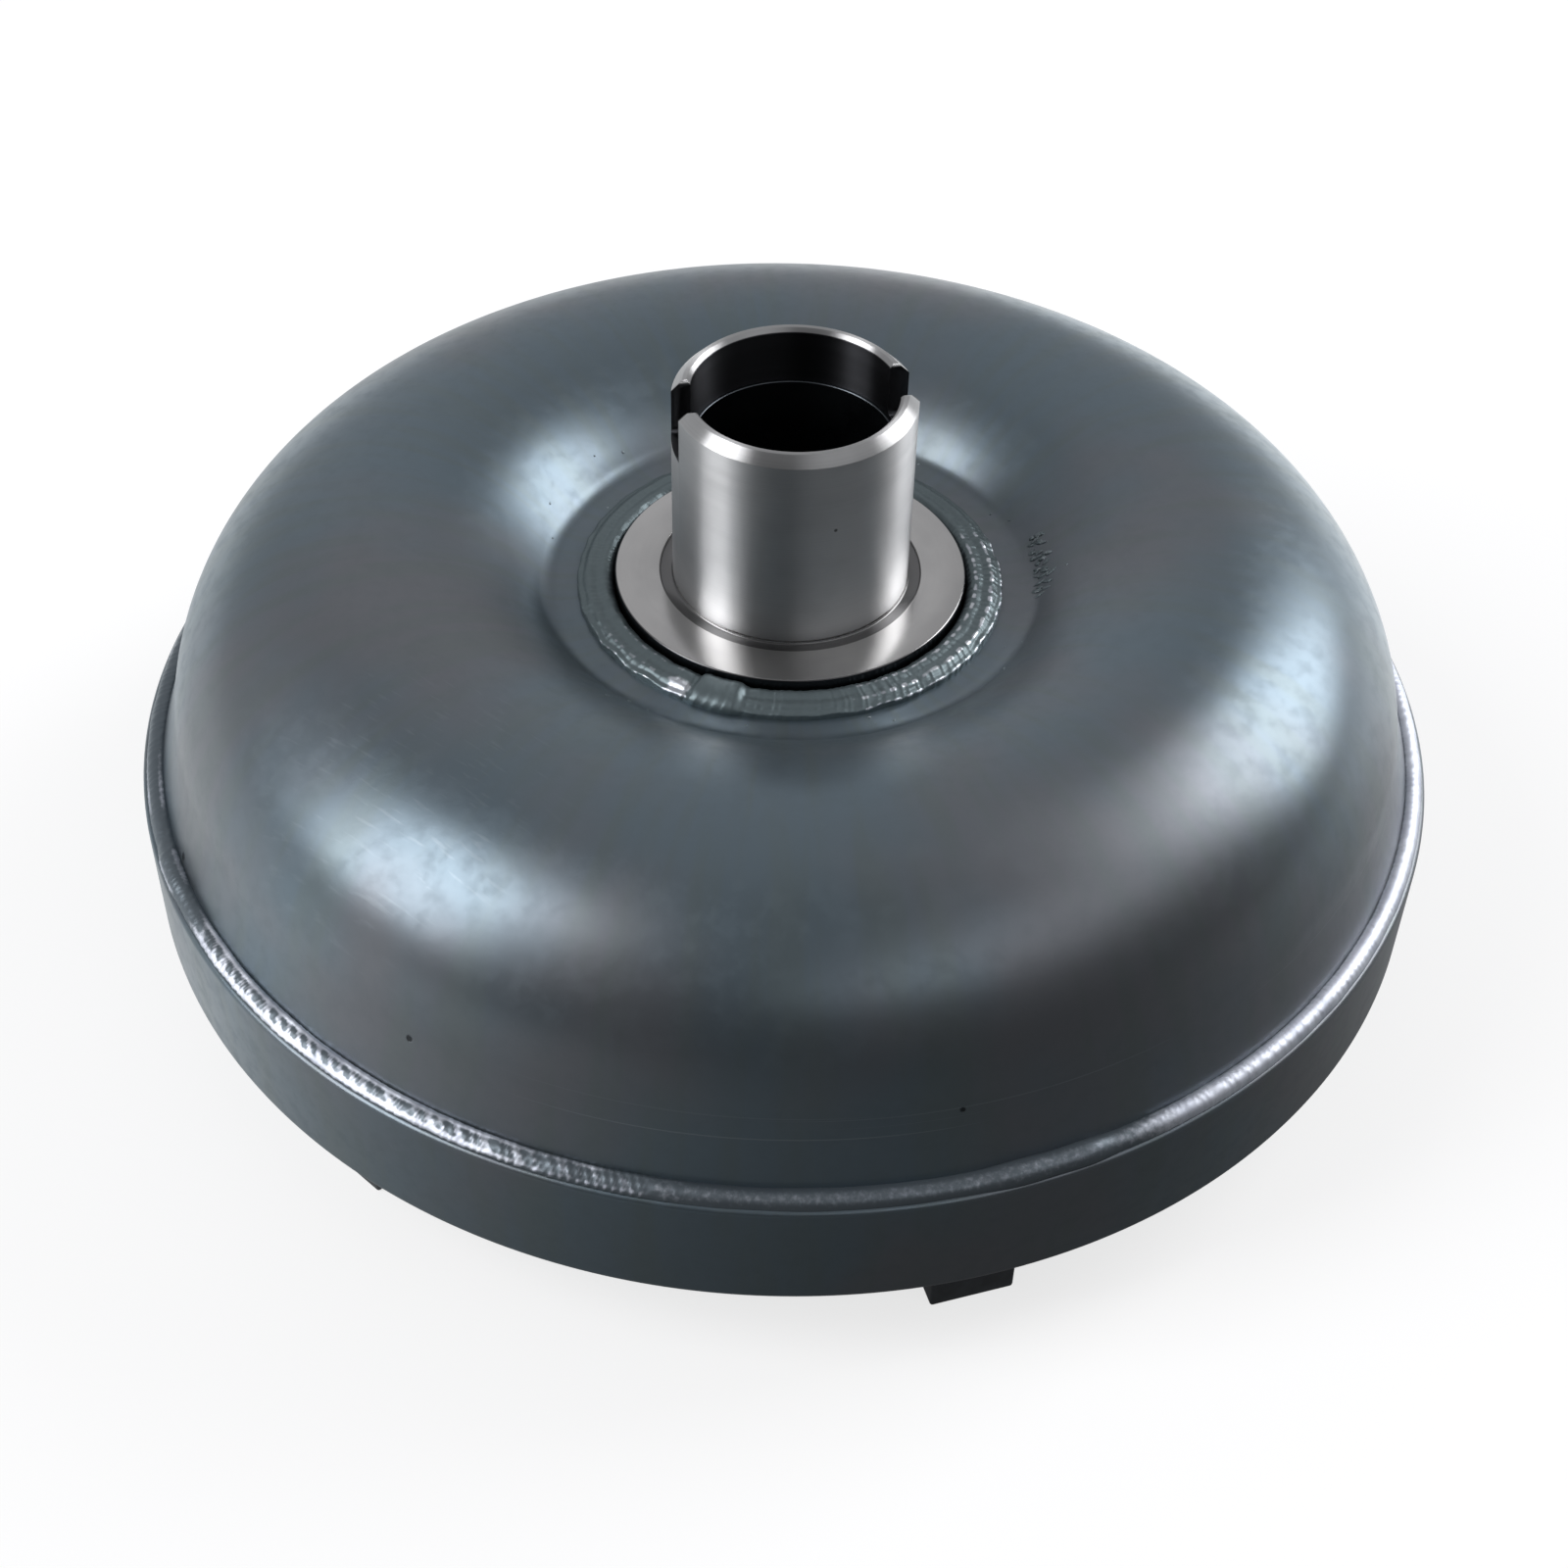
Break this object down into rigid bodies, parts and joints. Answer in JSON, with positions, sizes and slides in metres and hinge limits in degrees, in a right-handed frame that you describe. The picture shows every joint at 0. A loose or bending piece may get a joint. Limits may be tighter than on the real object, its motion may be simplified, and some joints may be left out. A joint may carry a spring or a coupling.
{
  "type": "torque converter",
  "caption": "Welded three-element torque converter: ring-shaped shell, slotted pump hub, lugged front cover, and turbine, stator and one-way clutch inside.",
  "frame": {"origin": "on the axis of rotation, in the plane of the drive lugs' mounting faces", "axes": "+Z along the axis of rotation towards the pump hub's rim; +X through the hub's drive slots"},
  "size_m": [0.31, 0.31, 0.1439],
  "materials": {
    "gunmetal_paint": "satin gunmetal paint with faint clouding",
    "painted_weld": "weld bead painted over, rubbed bright on top",
    "bright_weld": "rippled weld bead, partly painted",
    "lug_steel": "dark painted block",
    "turned_steel": "fine turned finish",
    "bush_steel": "smooth bored finish",
    "bearing_bronze": "sintered bronze",
    "pressed_steel": "oiled pressed sheet",
    "hardened_steel": "ground and hardened",
    "cast_alloy": "die cast, bead blasted"
  },
  "bodies": {
    "housing": {"impeller_shell": "gunmetal_paint", "impeller_blades": "pressed_steel", "impeller_core_ring": "pressed_steel", "pump_hub": "turned_steel", "hub_bush": "bush_steel", "hub_weld": "painted_weld", "front_cover": "gunmetal_paint", "seam_weld": "bright_weld", "pilot_boss": "turned_steel", "pilot_weld": "painted_weld", "drive_lugs": "lug_steel", "lug_welds": "painted_weld", "balance_weights": "gunmetal_paint", "cover_thrust_washer": "bearing_bronze", "impeller_bearing_race": "hardened_steel"},
    "turbine": {"turbine_shell": "pressed_steel", "turbine_blades": "pressed_steel", "turbine_core_ring": "pressed_steel", "turbine_hub": "turned_steel", "turbine_rivets": "turned_steel", "turbine_bearing_race": "hardened_steel"},
    "turbine_cage": {"turbine_bearing_cage": "bearing_bronze", "turbine_bearing_needles": "hardened_steel"},
    "stator": {"stator_wheel": "cast_alloy", "stator_lower_race": "hardened_steel", "stator_upper_race": "hardened_steel", "clutch_cam_ring": "hardened_steel", "clutch_rollers": "hardened_steel", "clutch_springs": "hardened_steel", "clutch_retainer": "hardened_steel", "clutch_snap_ring": "hardened_steel"},
    "inner_race": {"clutch_inner_race": "hardened_steel"},
    "impeller_cage": {"impeller_bearing_cage": "bearing_bronze", "impeller_bearing_needles": "hardened_steel"}
  },
  "joints": [
    {"name": "turbine_spin", "type": "hinge", "parent": "housing", "child": "turbine", "pos_m": [0, 0, 0.065], "axis": [0, 0, 1], "continuous": true},
    {"name": "turbine_cage_spin", "type": "hinge", "parent": "housing", "child": "turbine_cage", "pos_m": [0, 0, 0.065], "axis": [0, 0, 1], "continuous": true},
    {"name": "stator_spin", "type": "hinge", "parent": "housing", "child": "stator", "pos_m": [0, 0, 0.065], "axis": [0, 0, 1], "continuous": true},
    {"name": "impeller_cage_spin", "type": "hinge", "parent": "housing", "child": "impeller_cage", "pos_m": [0, 0, 0.065], "axis": [0, 0, 1], "continuous": true},
    {"name": "freewheel_spin", "type": "hinge", "parent": "stator", "child": "inner_race", "pos_m": [0, 0, 0.065], "axis": [0, 0, 1], "continuous": true}
  ],
  "couplings": [
    {"joint": "turbine_cage_spin", "follows": "turbine_spin", "ratio": 0.5},
    {"joint": "impeller_cage_spin", "follows": "stator_spin", "ratio": 0.5}
  ]
}
